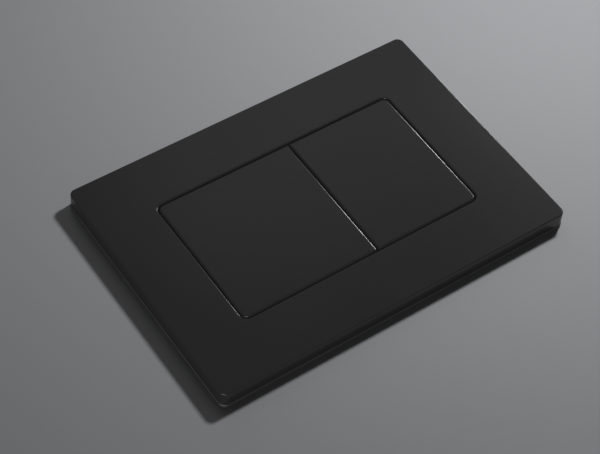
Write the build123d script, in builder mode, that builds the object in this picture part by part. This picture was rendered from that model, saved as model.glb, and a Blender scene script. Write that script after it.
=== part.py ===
from build123d import *
import os
from math import asin, degrees

os.makedirs("parts", exist_ok=True)

# Dual-flush button plate for a concealed cistern, in millimetres.
# The plate lies on its back: z = 0 is the wall side, +Z points out of the face, X runs along the long
# side and +Y is the edge that is uppermost on the wall.

# Cover: the moulded face and its skirt
plate_length = 240.0
plate_width = 166.0
cover_depth = 10.0
corner_radius = 4.2
face_thickness = 2.2
face_edge_radius = 0.7
skirt_thickness = 2.0
skirt_draft = 0.5
skirt_inner_radius = 2.2

# Opening for the two buttons
opening_length = 165.3
opening_width = 93.6
opening_radius = 4.3
opening_edge_radius = 1.2
button_gap = 0.35
divider_offset = 9.7

# Buttons: hollow-backed keys, flush with the face
button_top_thickness = 2.0
button_wall = 1.5
button_edge_radius = 1.5
divider_corner_radius = 0.8
press_travel = 4.0
stop_clearance = 0.15
lip_overlap = 1.8
lip_thickness = 1.2
lip_inset = 6.0
button_rib_thickness = 1.2
button_rib_depth = 2.0
cross_rib_spacing = 28.0

# Hinges along the upper edge of the buttons
hinge_inset = 4.6
rod_radius = 1.2
rod_running_clearance = 0.05
rod_seat_clearance = 0.02
hinge_eye_radius = 2.4
hinge_end_inset = 3.5
lug_width = 3.0
ear_width = 4.0
hinge_side_play = 0.3
rod_overhang = 1.2
clip_radius = 2.3
clip_thickness = 0.5
clip_play = 0.1

# Return springs
spring_radius = 2.9
spring_wire_radius = 0.3
spring_wire_sides = 4
spring_turns = 4
spring_seat_clearance = 0.05
spring_inset_x = 16.0
spring_inset_y = 11.0
spring_post_radius = 2.1
spring_post_height = 2.0
spring_cup_clearance = 0.4
spring_cup_wall = 1.2
spring_cup_depth = 1.8

# Rubber buffers that the buttons land on
buffer_radius = 3.5
buffer_height = 0.9
buffer_bevel = 0.3
buffer_stem_radius = 1.75
buffer_fit_clearance = 0.05
buffer_inset = 24.0
landing_clearance = 0.1

# Push pads, on which the cistern's push rods bear
push_pad_radius = 7.5
push_pad_thickness = 1.6
push_pad_bevel = 0.6
push_stem_radius = 4.0
push_stem_length = 2.6
push_boss_wall = 2.4
push_boss_depth = 3.2
push_fit_clearance = 0.05

# Mounting frame behind the cover
rim_thickness = 2.0
rim_proud = 0.35
rim_bevel = 0.25
locating_rib_thickness = 1.4
locating_rib_height = 2.5
locating_clearance = 0.2
window_side_margin = 7.0
window_hinge_margin = 4.7
window_spring_margin = 5.8
window_radius = 5.0
window_rib_thickness = 1.4
window_rib_height = 1.2
bolt_slot_length = 14.0
bolt_slot_width = 6.6

# Ribs on the back of the cover
collar_offset = 3.2
collar_thickness = 1.6
collar_depth = 3.4
cover_rib_thickness = 1.4
cover_rib_depth = 2.6
long_rib_spacing = 28.0
long_rib_count = 7
short_rib_spacing = 40.0
short_rib_outer_spacing = 112.0

# Snap hooks of the cover, which catch under the mounting frame
hook_width = 9.0
hook_thickness = 1.5
hook_barb = 0.9
hook_tip_height = 0.3
hook_barb_lead = 0.35
hook_shelf = 0.9
hook_clearance = 0.15
long_hook_spacing = 126.0
short_hook_spacing = 76.0

# Foam pads let into the back of the frame
wall_pad_length = 26.0
wall_pad_width = 12.0
wall_pad_thickness = 1.2
wall_pad_radius = 2.0
wall_pad_clearance = 0.1

# Levels and places that follow from the sizes above
floor_z = rim_thickness
face_z = rim_thickness + cover_depth
face_back_z = face_z - face_thickness
button_back_z = face_z - button_top_thickness
skirt_foot_z = floor_z + buffer_height + landing_clearance + press_travel
hinge_z = (floor_z + button_back_z) / 2
button_end_x = opening_length / 2 - button_gap
button_end_y = opening_width / 2 - button_gap
button_width = 2 * button_end_y
hinge_y = button_end_y - hinge_inset
spring_y = -button_end_y + spring_inset_y
buffer_y = -button_end_y + button_wall / 2
window_back_y = hinge_y - window_hinge_margin
window_front_y = spring_y + window_spring_margin
window_width = window_back_y - window_front_y
side_border_x = (opening_length + plate_length) / 4
long_border_y = (opening_width + plate_width) / 4
hollow_length = plate_length - 2 * skirt_thickness
hollow_width = plate_width - 2 * skirt_thickness
press_angle = degrees(asin(press_travel / (hinge_y + button_end_y)))

# Left and right edges of the two buttons
button_edges = {
    "full": (-button_end_x, divider_offset - button_gap / 2),
    "half": (divider_offset + button_gap / 2, button_end_x),
}
sides = {"left": -1, "right": 1}
ends = {"back": 1, "front": -1}


def save(part, label):
    part.label = label
    export_step(part, f"parts/{label}.step")


def mid_x(flush):
    left, right = button_edges[flush]
    return (left + right) / 2


def length_x(flush):
    left, right = button_edges[flush]
    return right - left


def paired_x(flush, inset):
    reach = length_x(flush) / 2 - inset
    return [mid_x(flush) - reach, mid_x(flush) + reach]


def key_outline(flush, inset):
    # Plan of a button: round corners at the plate's ends, tight ones at the divider
    with BuildSketch() as outline:
        with Locations((mid_x(flush), 0)):
            Rectangle(length_x(flush) - 2 * inset, button_width - 2 * inset)
        corners = outline.vertices().sort_by(lambda corner: abs(corner.X - divider_offset))
        fillet(corners[-2:], opening_radius - button_gap - inset)
        fillet(corners[:2], divider_corner_radius)
    return outline.sketch


def ring_outline(length, width, radius, wall):
    # A rounded rectangular ring, with its wall outside the given size
    with BuildSketch() as outline:
        RectangleRounded(length + 2 * wall, width + 2 * wall, radius + wall)
        RectangleRounded(length, width, radius, mode=Mode.SUBTRACT)
    return outline.sketch


def eye_profile(foot_z):
    # A hinge eye round the rod's axis, with a straight root that ends at foot_z, drawn as (y, z)
    with BuildSketch() as profile:
        with Locations((hinge_y, hinge_z)):
            Circle(hinge_eye_radius)
        with Locations((hinge_y, (hinge_z + foot_z) / 2)):
            Rectangle(2 * hinge_eye_radius, abs(hinge_z - foot_z))
    return profile.sketch


def lug_lefts(flush):
    left, right = button_edges[flush]
    return [left + hinge_end_inset, right - hinge_end_inset - lug_width]


def ear_lefts(flush):
    left, right = button_edges[flush]
    inset = hinge_end_inset + lug_width + hinge_side_play
    return [left + inset, right - inset - ear_width]


# Places of the snap hooks, each with its barb pointing outwards
hook_places = []
for side in sides.values():
    for end in ends.values():
        long_place = (side * long_hook_spacing / 2, end * long_border_y, 0)
        short_place = (side * side_border_x, end * short_hook_spacing / 2, 0)
        hook_places.append(Location(long_place, (0, 0, 90 - 90 * end)))
        hook_places.append(Location(short_place, (0, 0, -90 * side)))

hook_barb_z = rim_thickness - hook_shelf - hook_clearance

# One snap hook, as it stands on the +Y side
with BuildPart() as hook:
    with BuildSketch(Plane.YZ) as hook_profile:
        with BuildLine():
            Polyline(
                (-hook_thickness, face_back_z + face_thickness / 2),
                (0, face_back_z + face_thickness / 2),
                (0, hook_barb_z),
                (hook_barb, hook_barb_z),
                (hook_barb, hook_barb_z - hook_barb_lead),
                (0, hook_tip_height),
                (-hook_thickness, hook_tip_height),
                close=True,
            )
        make_face()
    extrude(amount=hook_width / 2, both=True)

# The way through the frame for a snap hook, with the recess that its barb catches in
with BuildPart() as hook_slot:
    slot_depth = hook_thickness + hook_barb + 3 * hook_clearance
    with BuildSketch() as slot_plan:
        with Locations((0, hook_clearance - slot_depth / 2)):
            Rectangle(hook_width + 2 * hook_clearance, slot_depth)
    extrude(amount=rim_thickness)
    with BuildSketch() as recess_plan:
        with Locations((0, (hook_barb + hook_clearance) / 2)):
            Rectangle(hook_width + 2 * hook_clearance, hook_barb + 3 * hook_clearance)
    extrude(amount=rim_thickness - hook_shelf)

# Cover plate
with BuildPart() as cover_plate:
    with BuildSketch(Plane.XY.offset(rim_thickness)):
        RectangleRounded(plate_length, plate_width, corner_radius)
    extrude(amount=cover_depth, taper=skirt_draft)
    fillet(cover_plate.faces().sort_by(Axis.Z)[-1].edges(), face_edge_radius)
    with BuildSketch(Plane.XY.offset(rim_thickness)):
        RectangleRounded(hollow_length, hollow_width, skirt_inner_radius)
    extrude(amount=cover_depth - face_thickness, taper=skirt_draft, mode=Mode.SUBTRACT)
    with BuildSketch(Plane.XY.offset(face_z)):
        RectangleRounded(opening_length, opening_width, opening_radius)
    extrude(amount=-face_thickness, mode=Mode.SUBTRACT)
    opening_rim = cover_plate.faces().sort_by(Axis.Z)[-1].inner_wires()[0]
    fillet(opening_rim.edges(), opening_edge_radius)

    # Collar round the opening
    collar_length = opening_length + 2 * collar_offset
    collar_width = opening_width + 2 * collar_offset
    with BuildSketch(Plane.XY.offset(face_back_z)):
        add(ring_outline(collar_length, collar_width, opening_radius + collar_offset, collar_thickness))
    extrude(amount=-collar_depth)

    # Ribs from the collar to the skirt
    collar_end_x = collar_length / 2 + collar_thickness / 2
    collar_end_y = collar_width / 2 + collar_thickness / 2
    long_reach = hollow_width / 2 + skirt_thickness / 4 - collar_end_y
    short_reach = hollow_length / 2 + skirt_thickness / 4 - collar_end_x
    with BuildSketch(Plane.XY.offset(face_back_z)):
        with Locations((0, collar_end_y + long_reach / 2), (0, -collar_end_y - long_reach / 2)):
            with GridLocations(long_rib_spacing, 1, long_rib_count, 1):
                Rectangle(cover_rib_thickness, long_reach)
        with Locations((collar_end_x + short_reach / 2, 0), (-collar_end_x - short_reach / 2, 0)):
            with GridLocations(1, short_rib_spacing, 1, 2):
                Rectangle(short_reach, cover_rib_thickness)
            with GridLocations(1, short_rib_outer_spacing, 1, 2):
                Rectangle(short_reach, cover_rib_thickness)
    extrude(amount=-cover_rib_depth)

    with Locations(hook_places):
        add(hook.part)
save(cover_plate.part, "cover_plate")

# Mounting frame
with BuildPart() as mounting_frame:
    with BuildSketch():
        RectangleRounded(plate_length + 2 * rim_proud, plate_width + 2 * rim_proud, corner_radius + rim_proud)
    extrude(amount=rim_thickness)
    chamfer(mounting_frame.faces().sort_by(Axis.Z)[-1].edges(), rim_bevel)

    # Rib that centres the cover's skirt
    rib_inset = locating_clearance + locating_rib_thickness
    rib_length = hollow_length - 2 * rib_inset
    rib_width = hollow_width - 2 * rib_inset
    rib_radius = skirt_inner_radius - locating_clearance
    with BuildSketch(Plane.XY.offset(floor_z)):
        add(ring_outline(rib_length, rib_width, rib_radius, locating_rib_thickness))
    extrude(amount=locating_rib_height)

    for flush in button_edges:
        window_length = length_x(flush) - 2 * window_side_margin
        window_place = Location((mid_x(flush), (window_back_y + window_front_y) / 2, 0))

        # Window for the cistern's push rod, with a stiffening rib round it
        with BuildSketch(Plane.XY.offset(floor_z)):
            with Locations(window_place):
                add(ring_outline(window_length, window_width, window_radius, window_rib_thickness))
        extrude(amount=window_rib_height)
        with BuildSketch(Plane.XY.offset(floor_z)):
            with Locations(window_place):
                RectangleRounded(window_length, window_width, window_radius)
        extrude(amount=-rim_thickness, mode=Mode.SUBTRACT)

        # Hinge lugs, bored for the rod
        for lug_left in lug_lefts(flush):
            with BuildSketch(Plane.YZ.offset(lug_left)):
                add(eye_profile(floor_z - rim_thickness / 2))
            extrude(amount=lug_width)
            with BuildSketch(Plane.YZ.offset(lug_left)):
                with Locations((hinge_y, hinge_z)):
                    Circle(rod_radius + rod_seat_clearance)
            extrude(amount=lug_width, mode=Mode.SUBTRACT)

        # Spring posts and holes for the buffers' stems
        with BuildSketch(Plane.XY.offset(floor_z)):
            with Locations([(x, spring_y) for x in paired_x(flush, spring_inset_x)]):
                Circle(spring_post_radius)
        extrude(amount=spring_post_height)
        with BuildSketch(Plane.XY.offset(floor_z)):
            with Locations([(x, buffer_y) for x in paired_x(flush, buffer_inset)]):
                Circle(buffer_stem_radius + buffer_fit_clearance)
        extrude(amount=-rim_thickness, mode=Mode.SUBTRACT)

    # Slots for the two fixing bolts
    with BuildSketch(Plane.XY.offset(floor_z)):
        with GridLocations(2 * side_border_x, 1, 2, 1):
            SlotOverall(bolt_slot_length, bolt_slot_width)
    extrude(amount=-rim_thickness, mode=Mode.SUBTRACT)

    with Locations(hook_places):
        add(hook_slot.part, mode=Mode.SUBTRACT)

    # Pockets for the foam pads
    with BuildSketch():
        with GridLocations(2 * side_border_x, 2 * long_border_y, 2, 2):
            RectangleRounded(
                wall_pad_length + 2 * wall_pad_clearance,
                wall_pad_width + 2 * wall_pad_clearance,
                wall_pad_radius + wall_pad_clearance,
            )
    extrude(amount=wall_pad_thickness, mode=Mode.SUBTRACT)
save(mounting_frame.part, "mounting_frame")

# Buttons
for flush in button_edges:
    with BuildPart() as button:
        with BuildSketch(Plane.XY.offset(face_z)):
            add(key_outline(flush, 0))
        extrude(amount=skirt_foot_z - face_z)
        fillet(button.faces().sort_by(Axis.Z)[-1].edges(), button_edge_radius)
        with BuildSketch(Plane.XY.offset(skirt_foot_z)):
            add(key_outline(flush, button_wall))
        extrude(amount=button_back_z - skirt_foot_z, mode=Mode.SUBTRACT)

        # Ribs across the back, run into the walls, the upright pair midway to the springs
        with BuildSketch(Plane.XY.offset(button_back_z)):
            with Locations((mid_x(flush), 0)):
                with GridLocations(1, cross_rib_spacing, 1, 2):
                    Rectangle(length_x(flush) - button_wall, button_rib_thickness)
                with GridLocations(length_x(flush) / 2 - spring_inset_x, 1, 2, 1):
                    Rectangle(button_rib_thickness, button_width - button_wall)
        extrude(amount=-button_rib_depth)

        # Cups that hold the springs' upper ends
        cup_radius = spring_radius + spring_wire_radius + spring_cup_clearance
        with BuildSketch(Plane.XY.offset(button_back_z)):
            with Locations([(x, spring_y) for x in paired_x(flush, spring_inset_x)]):
                Circle(cup_radius + spring_cup_wall)
                Circle(cup_radius, mode=Mode.SUBTRACT)
        extrude(amount=-spring_cup_depth)

        # Boss with the socket of the push pad
        with BuildSketch(Plane.XY.offset(button_back_z)):
            with Locations((mid_x(flush), 0)):
                Circle(push_stem_radius + push_boss_wall)
        extrude(amount=-push_boss_depth)
        with BuildSketch(Plane.XY.offset(button_back_z - push_boss_depth)):
            with Locations((mid_x(flush), 0)):
                Circle(push_stem_radius + push_fit_clearance)
        extrude(amount=push_stem_length + push_fit_clearance, mode=Mode.SUBTRACT)

        # Hinge ears
        for ear_left in ear_lefts(flush):
            with BuildSketch(Plane.YZ.offset(ear_left)):
                add(eye_profile(button_back_z + button_top_thickness / 2))
            extrude(amount=ear_width)
            with BuildSketch(Plane.YZ.offset(ear_left)):
                with Locations((hinge_y, hinge_z)):
                    Circle(rod_radius + rod_running_clearance)
            extrude(amount=ear_width, mode=Mode.SUBTRACT)

        # Stop lip that meets the back of the cover's face
        lip_reach = button_gap + lip_overlap + button_wall / 2
        with BuildSketch(Plane.XY.offset(face_back_z - stop_clearance)):
            with Locations((mid_x(flush), buffer_y - lip_reach / 2)):
                Rectangle(length_x(flush) - 2 * lip_inset, lip_reach)
        extrude(amount=-lip_thickness)
    save(button.part, f"{flush}_flush_button")

# Hinge rods
for flush in button_edges:
    rod_left = lug_lefts(flush)[0] - rod_overhang
    rod_right = lug_lefts(flush)[1] + lug_width + rod_overhang
    with BuildPart() as rod:
        with BuildSketch(Plane.YZ.offset(rod_left)):
            with Locations((hinge_y, hinge_z)):
                Circle(rod_radius)
        extrude(amount=rod_right - rod_left)
    save(rod.part, f"{flush}_hinge_rod")

# Push-on rings at the rods' ends
with BuildPart() as rod_clips:
    for flush in button_edges:
        outer_faces = [lug_lefts(flush)[0] - clip_play - clip_thickness]
        outer_faces.append(lug_lefts(flush)[1] + lug_width + clip_play)
        for clip_left in outer_faces:
            with BuildSketch(Plane.YZ.offset(clip_left)):
                with Locations((hinge_y, hinge_z)):
                    Circle(clip_radius)
                    Circle(rod_radius + rod_seat_clearance, mode=Mode.SUBTRACT)
            extrude(amount=clip_thickness)
save(rod_clips.part, "rod_clips")

# Return springs
spring_foot_z = floor_z + spring_seat_clearance + spring_wire_radius
spring_rise = button_back_z - floor_z - 2 * (spring_seat_clearance + spring_wire_radius)
for flush in button_edges:
    for side, x in zip(sides, paired_x(flush, spring_inset_x)):
        with BuildPart() as spring:
            with BuildLine() as coil:
                Helix(
                    pitch=spring_rise / spring_turns,
                    height=spring_rise,
                    radius=spring_radius,
                    center=(x, spring_y, spring_foot_z),
                )
            with BuildSketch(Plane(origin=coil.line @ 0, z_dir=coil.line % 0)):
                RegularPolygon(spring_wire_radius, spring_wire_sides)
            sweep(path=coil.line, is_frenet=True)
        save(spring.part, f"{flush}_spring_{side}")

# Rubber buffers, each pressed into the frame by its stem
for flush in button_edges:
    for side, x in zip(sides, paired_x(flush, buffer_inset)):
        with BuildPart() as buffer:
            with BuildSketch(Plane.XY.offset(floor_z)):
                with Locations((x, buffer_y)):
                    Circle(buffer_radius)
            extrude(amount=buffer_height)
            chamfer(buffer.faces().sort_by(Axis.Z)[-1].edges(), buffer_bevel)
            with BuildSketch(Plane.XY.offset(floor_z)):
                with Locations((x, buffer_y)):
                    Circle(buffer_stem_radius)
            extrude(amount=-rim_thickness)
        save(buffer.part, f"{flush}_buffer_{side}")

# Push pads
push_boss_foot_z = button_back_z - push_boss_depth
for flush in button_edges:
    with BuildPart() as push_pad:
        with BuildSketch(Plane.XY.offset(push_boss_foot_z)):
            with Locations((mid_x(flush), 0)):
                Circle(push_pad_radius)
        extrude(amount=-push_pad_thickness)
        chamfer(push_pad.faces().sort_by(Axis.Z)[0].edges(), push_pad_bevel)
        with BuildSketch(Plane.XY.offset(push_boss_foot_z)):
            with Locations((mid_x(flush), 0)):
                Circle(push_stem_radius)
        extrude(amount=push_stem_length)
    save(push_pad.part, f"{flush}_push_pad")

# Foam pads
for end_name, end in ends.items():
    for side_name, side in sides.items():
        with BuildPart() as wall_pad:
            with BuildSketch():
                with Locations((side * side_border_x, end * long_border_y)):
                    RectangleRounded(wall_pad_length, wall_pad_width, wall_pad_radius)
            extrude(amount=wall_pad_thickness)
        save(wall_pad.part, f"wall_pad_{end_name}_{side_name}")

print(f"hinge axis at y {hinge_y:.3f}, z {hinge_z:.3f}, full press {press_angle:.3f} degrees")
print(f"bolt slots {2 * side_border_x:.3f} apart")
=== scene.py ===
import math

import bpy
from mathutils import Matrix, Vector


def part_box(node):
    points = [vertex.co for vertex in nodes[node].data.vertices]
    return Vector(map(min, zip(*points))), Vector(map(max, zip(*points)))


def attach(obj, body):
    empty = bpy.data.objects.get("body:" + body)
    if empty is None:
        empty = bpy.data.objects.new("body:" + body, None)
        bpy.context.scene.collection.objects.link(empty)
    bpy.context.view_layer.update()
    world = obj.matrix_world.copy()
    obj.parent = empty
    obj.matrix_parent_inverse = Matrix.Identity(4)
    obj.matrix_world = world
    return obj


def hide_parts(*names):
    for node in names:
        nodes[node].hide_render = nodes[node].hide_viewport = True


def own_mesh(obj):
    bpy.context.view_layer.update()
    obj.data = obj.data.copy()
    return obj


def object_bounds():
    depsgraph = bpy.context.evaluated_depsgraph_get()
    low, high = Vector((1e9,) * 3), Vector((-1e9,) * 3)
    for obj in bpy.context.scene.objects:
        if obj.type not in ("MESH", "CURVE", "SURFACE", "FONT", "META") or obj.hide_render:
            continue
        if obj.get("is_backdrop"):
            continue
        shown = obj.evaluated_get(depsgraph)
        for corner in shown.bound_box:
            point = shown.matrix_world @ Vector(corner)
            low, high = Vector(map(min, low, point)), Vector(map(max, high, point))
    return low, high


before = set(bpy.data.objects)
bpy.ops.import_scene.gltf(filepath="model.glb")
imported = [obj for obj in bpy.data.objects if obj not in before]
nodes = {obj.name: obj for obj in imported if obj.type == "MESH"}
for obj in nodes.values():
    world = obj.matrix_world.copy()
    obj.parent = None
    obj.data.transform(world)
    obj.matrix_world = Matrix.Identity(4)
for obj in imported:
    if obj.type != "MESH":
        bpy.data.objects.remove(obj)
cadLow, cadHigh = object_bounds()
bpy.ops.object.select_all(action="DESELECT")
print("frame loaded:", len(nodes), "nodes")

mm = 0.001


def hexColour(code):
    # sRGB hex to the linear values that shaders take
    channels = [int(code[place:place + 2], 16) / 255 for place in (1, 3, 5)]
    linear = [c / 12.92 if c <= 0.04045 else ((c + 0.055) / 1.055) ** 2.4 for c in channels]
    return (*linear, 1.0)


def addNode(tree, kind, settings=None, values=None, links=None):
    # one node with its settings, socket values and incoming links
    node = tree.nodes.new(kind)
    for name, setting in (settings or {}).items():
        setattr(node, name, setting)
    for name, value in (values or {}).items():
        node.inputs[name].default_value = value
    for name, source in (links or {}).items():
        tree.links.new(source, node.inputs[name])
    return node


def newMaterial(name):
    # an empty node tree with its output, and the object's own coordinates in metres
    material = bpy.data.materials.new(name)
    material.use_nodes = True
    tree = material.node_tree
    tree.nodes.clear()
    output = tree.nodes.new("ShaderNodeOutputMaterial")
    place = tree.nodes.new("ShaderNodeTexCoord").outputs["Object"]
    return material, tree, output, place


def noise(tree, place, size, detail):
    # a cloudy pattern whose patches are about as large as the size
    values = {"Scale": 1 / size, "Detail": detail}
    return addNode(tree, "ShaderNodeTexNoise", values=values, links={"Vector": place}).outputs["Fac"]


def streaks(tree, place, sizes, detail, distortion=0.0):
    # the same, drawn out to its own size along each axis
    scale = [1 / size for size in sizes]
    along = addNode(tree, "ShaderNodeMapping", values={"Scale": scale}, links={"Vector": place})
    values = {"Scale": 1.0, "Detail": detail, "Distortion": distortion}
    return addNode(tree, "ShaderNodeTexNoise", values=values,
                   links={"Vector": along.outputs["Vector"]}).outputs["Fac"]


def cells(tree, place, size):
    # distance from the middle of each cell
    return addNode(tree, "ShaderNodeTexVoronoi", values={"Scale": 1 / size},
                   links={"Vector": place}).outputs["Distance"]


# Places of the colour sockets on a Mix node, whose names are shared with its other kinds
mixSockets = {"factor": 0, "first": 6, "second": 7, "result": 2}


def mixColours(tree, pattern, first, second):
    mix = addNode(tree, "ShaderNodeMix", {"data_type": "RGBA"},
                  values={mixSockets["first"]: hexColour(first), mixSockets["second"]: hexColour(second)},
                  links={mixSockets["factor"]: pattern})
    return mix.outputs[mixSockets["result"]]


def spread(tree, pattern, start, end):
    # the pattern's dark and light ends taken to two values
    return addNode(tree, "ShaderNodeMapRange", values={"To Min": start, "To Max": end},
                   links={"Value": pattern}).outputs["Result"]


def relief(tree, pattern, depth, strength):
    return addNode(tree, "ShaderNodeBump", values={"Strength": strength, "Distance": depth},
                   links={"Height": pattern}).outputs["Normal"]


def addShader(tree, output, values=None, links=None):
    shader = addNode(tree, "ShaderNodeBsdfPrincipled", values=values, links=links)
    tree.links.new(shader.outputs["BSDF"], output.inputs["Surface"])


# Black ABS, moulded in a finely blasted tool: an even charcoal whose low sheen shows only on the rounded
# edges, with a fine pebble and a faint drift in tone where the melt cooled
blackAbs = {
    "dark": "#212122",
    "light": "#262627",
    "driftSize": 70 * mm,
    "driftDetail": 2.0,
    "grainSize": 0.7 * mm,    # the real pebble is about 0.2 mm, too fine to show in the render
    "grainDetail": 3.0,
    "grainDepth": 0.0015 * mm,
    "grainStrength": 0.6,
    "roughness": (0.2, 0.23),
    "specular": 0.22,
}


def makeBlackAbs():
    finish = blackAbs
    material, tree, output, place = newMaterial("mouldedBlackAbs")
    drift = noise(tree, place, finish["driftSize"], finish["driftDetail"])
    grain = noise(tree, place, finish["grainSize"], finish["grainDetail"])
    low, high = finish["roughness"]
    addShader(tree, output, {"Specular IOR Level": finish["specular"]}, {
        "Base Color": mixColours(tree, drift, finish["dark"], finish["light"]),
        "Roughness": spread(tree, grain, low, high),
        "Normal": relief(tree, grain, finish["grainDepth"], finish["grainStrength"]),
    })
    return material


# Charcoal polypropylene of the mounting frame: a dull, slightly waxy dark grey with long paler streaks
# where the melt ran away from the middle, and a coarser pebble than the cover's
charcoalFrame = {
    "dark": "#262627",
    "light": "#2d2d2e",
    "streak": (45 * mm, 9 * mm, 9 * mm),
    "streakDetail": 3.0,
    "streakDistortion": 0.6,
    "grainSize": 1.0 * mm,
    "grainDetail": 2.0,
    "grainDepth": 0.02 * mm,
    "grainStrength": 0.6,
    "roughness": (0.42, 0.52),
}


def makeCharcoalFrame():
    finish = charcoalFrame
    material, tree, output, place = newMaterial("charcoalPolypropylene")
    streak = streaks(tree, place, finish["streak"], finish["streakDetail"], finish["streakDistortion"])
    grain = noise(tree, place, finish["grainSize"], finish["grainDetail"])
    low, high = finish["roughness"]
    addShader(tree, output, links={
        "Base Color": mixColours(tree, streak, finish["dark"], finish["light"]),
        "Roughness": spread(tree, grain, low, high),
        "Normal": relief(tree, grain, finish["grainDepth"], finish["grainStrength"]),
    })
    return material


# Bright drawn steel of the hinge rods: silvery, with fine die lines that run along the rod
drawnSteel = {
    "dark": "#9c9ea0",
    "light": "#c2c4c6",
    "dieLine": (25 * mm, 0.18 * mm, 0.18 * mm),
    "lineDetail": 3.0,
    "lineDepth": 0.004 * mm,
    "lineStrength": 0.5,
    "roughness": (0.2, 0.36),
}


def makeDrawnSteel():
    finish = drawnSteel
    material, tree, output, place = newMaterial("drawnBrightSteel")
    lines = streaks(tree, place, finish["dieLine"], finish["lineDetail"])
    low, high = finish["roughness"]
    addShader(tree, output, {"Metallic": 1.0}, {
        "Base Color": mixColours(tree, lines, finish["dark"], finish["light"]),
        "Roughness": spread(tree, lines, high, low),
        "Normal": relief(tree, lines, finish["lineDepth"], finish["lineStrength"]),
    })
    return material


# Zinc-plated spring steel of the coils and the push-on rings: a bluish pale grey with the fine crystalline
# mottle of the plating, duller in patches
platedSteel = {
    "dark": "#8d9195",
    "light": "#b3b7bb",
    "patchSize": 1.6 * mm,
    "patchDetail": 2.0,
    "crystalSize": 0.3 * mm,
    "crystalDepth": 0.004 * mm,
    "crystalStrength": 0.5,
    "roughness": (0.28, 0.44),
}


def makePlatedSteel():
    finish = platedSteel
    material, tree, output, place = newMaterial("zincPlatedSpringSteel")
    patch = noise(tree, place, finish["patchSize"], finish["patchDetail"])
    crystal = cells(tree, place, finish["crystalSize"])
    low, high = finish["roughness"]
    addShader(tree, output, {"Metallic": 1.0}, {
        "Base Color": mixColours(tree, patch, finish["dark"], finish["light"]),
        "Roughness": spread(tree, patch, high, low),
        "Normal": relief(tree, crystal, finish["crystalDepth"], finish["crystalStrength"]),
    })
    return material


# Moulded nitrile rubber of the buffers: dull near-black with a greyish bloom that gathers in patches
nitrileRubber = {
    "dark": "#232324",
    "bloom": "#353536",
    "bloomSize": 2.5 * mm,
    "bloomDetail": 4.0,
    "grainSize": 0.35 * mm,
    "grainDetail": 2.0,
    "grainDepth": 0.015 * mm,
    "grainStrength": 0.6,
    "roughness": 0.78,
}


def makeNitrileRubber():
    finish = nitrileRubber
    material, tree, output, place = newMaterial("mouldedNitrileRubber")
    bloom = noise(tree, place, finish["bloomSize"], finish["bloomDetail"])
    grain = noise(tree, place, finish["grainSize"], finish["grainDetail"])
    addShader(tree, output, {"Roughness": finish["roughness"]}, {
        "Base Color": mixColours(tree, bloom, finish["dark"], finish["bloom"]),
        "Normal": relief(tree, grain, finish["grainDepth"], finish["grainStrength"]),
    })
    return material


# Natural acetal of the push pads: a milky off-white, smooth and slightly waxy, with soft flow clouds
naturalAcetal = {
    "cream": "#dcdad0",
    "white": "#e9e8e1",
    "cloudSize": 5 * mm,
    "cloudDetail": 2.0,
    "scuffSize": 0.5 * mm,
    "scuffDetail": 3.0,
    "scuffDepth": 0.004 * mm,
    "scuffStrength": 0.5,
    "roughness": (0.28, 0.4),
    "refraction": 1.48,
}


def makeNaturalAcetal():
    finish = naturalAcetal
    material, tree, output, place = newMaterial("naturalAcetal")
    cloud = noise(tree, place, finish["cloudSize"], finish["cloudDetail"])
    scuff = noise(tree, place, finish["scuffSize"], finish["scuffDetail"])
    low, high = finish["roughness"]
    addShader(tree, output, {"IOR": finish["refraction"]}, {
        "Base Color": mixColours(tree, cloud, finish["cream"], finish["white"]),
        "Roughness": spread(tree, scuff, low, high),
        "Normal": relief(tree, scuff, finish["scuffDepth"], finish["scuffStrength"]),
    })
    return material


# Closed-cell foam of the wall pads: soft dark grey, pitted by cut cells with painted shade in each hollow
cellFoam = {
    # painted shade: the darker colour put in the hollow of each cut cell
    "paintedPitShade": "#2b2b2d",
    "skin": "#4a4a4d",
    "cellSize": 0.9 * mm,    # real cells are nearer 0.5 mm, too fine to show in the render
    "cellDepth": 0.25 * mm,
    "cellStrength": 0.7,
    "roughness": 0.92,
}


def makeCellFoam():
    finish = cellFoam
    material, tree, output, place = newMaterial("closedCellFoam")
    cell = cells(tree, place, finish["cellSize"])
    addShader(tree, output, {"Roughness": finish["roughness"]}, {
        # painted shade: each cell is darker towards its middle, where the hollow is deepest
        "Base Color": mixColours(tree, cell, finish["paintedPitShade"], finish["skin"]),
        "Normal": relief(tree, cell, finish["cellDepth"], finish["cellStrength"]),
    })
    return material


def assign(names, material):
    for name in names:
        nodes[name].data.materials.clear()
        nodes[name].data.materials.append(material)


springFinish = makePlatedSteel()
assign(["cover_plate", "full_flush_button", "half_flush_button"], makeBlackAbs())
assign(["mounting_frame"], makeCharcoalFrame())
assign(["full_hinge_rod", "half_hinge_rod"], makeDrawnSteel())
assign(["rod_clips"], springFinish)
assign([name for name in nodes if "_buffer_" in name], makeNitrileRubber())
assign([name for name in nodes if "_push_pad" in name], makeNaturalAcetal())
assign([name for name in nodes if name.startswith("wall_pad_")], makeCellFoam())
print("finishes assigned")

# Return springs, wound from round wire with closed ends, each as tall as the solid that it stands for
coilSpring = {
    "nodes": {"full_press": ["full_spring_left", "full_spring_right"],
              "half_press": ["half_spring_left", "half_spring_right"]},
    "coilRadius": 2.9 * mm,
    "wireRadius": 0.3 * mm,
    "wireSides": 12,
    "turns": 4,
    "stepsPerTurn": 32,
    "closedTurns": 0.8,     # at each end, lying against the next turn
    "closedPitch": 0.62 * mm,
    "smoothAngle": math.radians(40),
    "pressedShare": 0.535,    # of its height, with the button down on its buffers
}


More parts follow.
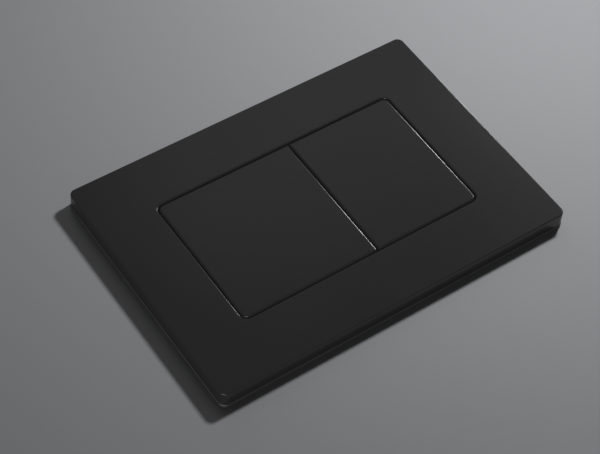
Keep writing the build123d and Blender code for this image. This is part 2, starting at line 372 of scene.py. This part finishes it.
def windSpring(height):
    # a ring of wire, screwed up to the height and then drawn together at both ends
    spring = coilSpring
    rise = height - 2 * spring["wireRadius"]
    bpy.ops.object.select_all(action="DESELECT")
    bpy.ops.mesh.primitive_circle_add(vertices=spring["wireSides"], radius=spring["wireRadius"],
                                      location=(spring["coilRadius"], 0, 0), rotation=(math.pi / 2, 0, 0))
    coil = bpy.context.object
    bpy.ops.object.transform_apply(location=True, rotation=True, scale=True)
    screw = coil.modifiers.new("wind", "SCREW")
    screw.axis = "Z"
    screw.screw_offset = rise / spring["turns"]
    screw.iterations = spring["turns"]
    screw.steps = spring["stepsPerTurn"]
    screw.render_steps = spring["stepsPerTurn"]
    bpy.ops.object.modifier_apply(modifier=screw.name)

    lastRing = spring["turns"] * spring["stepsPerTurn"]
    closed = spring["closedTurns"]
    closedRise = closed * spring["closedPitch"]
    openPitch = (rise - 2 * closedRise) / (spring["turns"] - 2 * closed)
    for vertex in coil.data.vertices:
        turn = (vertex.index // spring["wireSides"]) / spring["stepsPerTurn"]
        fromEnd = min(turn, spring["turns"] - turn)
        wound = min(fromEnd, closed) * spring["closedPitch"] + max(fromEnd - closed, 0) * openPitch
        if turn > spring["turns"] / 2:
            wound = rise - wound
        vertex.co.z += wound - turn * rise / spring["turns"] + spring["wireRadius"]

    # the cut ends of the wire
    for ring in (0, lastRing):
        for vertex in coil.data.vertices:
            vertex.select = vertex.index // spring["wireSides"] == ring
        bpy.ops.object.mode_set(mode="EDIT")
        bpy.ops.mesh.select_mode(type="VERT")
        bpy.ops.mesh.edge_face_add()
        bpy.ops.mesh.select_all(action="SELECT")
        bpy.ops.mesh.normals_make_consistent(inside=False)
        bpy.ops.mesh.select_all(action="DESELECT")
        bpy.ops.object.mode_set(mode="OBJECT")
    bpy.ops.object.shade_smooth_by_angle(angle=spring["smoothAngle"])
    coil.data.materials.append(springFinish)
    return coil


firstCoil = None
for jointName, springNodes in coilSpring["nodes"].items():
    for nodeName in springNodes:
        low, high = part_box(nodeName)
        if firstCoil is None:
            firstCoil = windSpring(high.z - low.z)
            unplaced = firstCoil.data.copy()
            coil = firstCoil
        else:
            coil = bpy.data.objects.new("coil", unplaced.copy())
            bpy.context.collection.objects.link(coil)
        coil.name = nodeName + "_coil"
        foot = Vector(((low.x + high.x) / 2, (low.y + high.y) / 2, low.z))
        coil.data.transform(Matrix.Translation(foot))
        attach(coil, "plate")
        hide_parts(nodeName)
        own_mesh(coil)
print("springs wound")

# Plain pale floor
floorCard = {"size": 4.0, "colour": "#c9cacd", "roughness": 0.9}
bpy.ops.mesh.primitive_plane_add(size=floorCard["size"], location=(0, 0, cadLow.z))
floor = bpy.context.object
floor.name = "floor"
floorMaterial, floorTree, floorOutput = newMaterial("paleCardFloor")[:3]
addShader(floorTree, floorOutput,
          {"Base Color": hexColour(floorCard["colour"]), "Roughness": floorCard["roughness"]})
floor.data.materials.append(floorMaterial)
floor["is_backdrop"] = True

# Soft key from the right and a little behind; a narrow strip, lower and nearer on the same side, which
# draws the lit line along the right-hand edges of the buttons; a dim panel behind, which the face mirrors
# as a faint gradient; two panels at the front left, one high to lighten the grooves and one low for the
# near walls; and, for the floor alone, a small lamp that throws the one short shadow and a broad panel
# that lightens it outwards
lamps = {
    "keyLamp": {"place": (1.507, 0.461, 1.231), "size": (0.35, 0.35), "power": 12.0, "lights": "plate"},
    "edgeStrip": {"place": (0.505, 0.257, 0.274), "size": (0.035, 0.15), "power": 1.6, "lights": "plate"},
    "skyPanel": {"place": (0.629, 0.929, 1.141), "size": (0.5, 0.5), "power": 0.53, "lights": "plate"},
    "highPanel": {"place": (-0.62, -0.75, 1.0), "size": (0.4, 0.4), "power": 11.0, "lights": "plate"},
    "lowPanel": {"place": (-1.25, -0.55, 0.3), "size": (0.25, 0.25), "power": 8.5, "lights": "plate"},
    "floorLamp": {"place": (0.395, 0.127, 0.5), "size": (0.08, 0.08), "power": 1.85, "lights": "floor"},
    "floorPanel": {"place": (0.1, 0.7, 0.7), "size": (1.2, 0.5), "power": 0.6, "lights": "floor"},
}
lampAim = Vector((0, 0, 0.01))
receivers = {}
for lit, floorState in {"plate": "EXCLUDE", "floor": "INCLUDE"}.items():
    receivers[lit] = bpy.data.collections.new(lit + "Light")
    receivers[lit].objects.link(floor)
    receivers[lit].collection_objects[0].light_linking.link_state = floorState
for lampName, lamp in lamps.items():
    bpy.ops.object.light_add(type="AREA")
    lampObject = bpy.context.object
    lampObject.name = lampName
    lampObject.data.shape = "RECTANGLE"
    lampObject.data.size, lampObject.data.size_y = lamp["size"]
    lampObject.data.energy = lamp["power"]
    lampObject.visible_camera = False
    if lamp["lights"] == "plate":
        lampObject.data.cycles.max_bounces = 0    # so the plate's walls throw none of it on the floor
    lampObject.light_linking.receiver_collection = receivers[lamp["lights"]]
    back = (Vector(lamp["place"]) - lampAim).normalized()
    rise = Vector((0, 1, 0)).cross(back).normalized()    # a lamp's height has no part along Y
    turn = Matrix((rise.cross(back), rise, back)).transposed()
    lampObject.matrix_world = Matrix.Translation(lamp["place"]) @ turn.to_4x4()

# A dim even fill all round
fillLight = {"colour": "#ffffff", "strength": 0.035}
world = bpy.data.worlds.new("fillLight")
world.use_nodes = True
background = world.node_tree.nodes["Background"]
background.inputs["Color"].default_value = hexColour(fillLight["colour"])
background.inputs["Strength"].default_value = fillLight["strength"]
bpy.context.scene.world = world
print("floor and lights set")

# Camera fitted to the plate's edges in a 600 by 454 frame
cameraFit = {
    "place": (-0.4158, -0.4992, 0.8209),
    "right": (0.8231, -0.5646, 0.0612),
    "up": (0.4162, 0.6729, 0.6115),
    "back": (-0.3865, -0.4778, 0.7889),
    "lens": 106.65,
    "sensor": 36.0,
}
bpy.ops.object.camera_add()
camera = bpy.context.object
axes = Matrix((cameraFit["right"], cameraFit["up"], cameraFit["back"])).transposed()
camera.matrix_world = Matrix.Translation(cameraFit["place"]) @ axes.to_4x4()
camera.data.lens = cameraFit["lens"]
camera.data.sensor_width = cameraFit["sensor"]
bpy.context.scene.camera = camera
bpy.context.scene.view_settings.view_transform = "Standard"
print("camera set")

low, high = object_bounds()
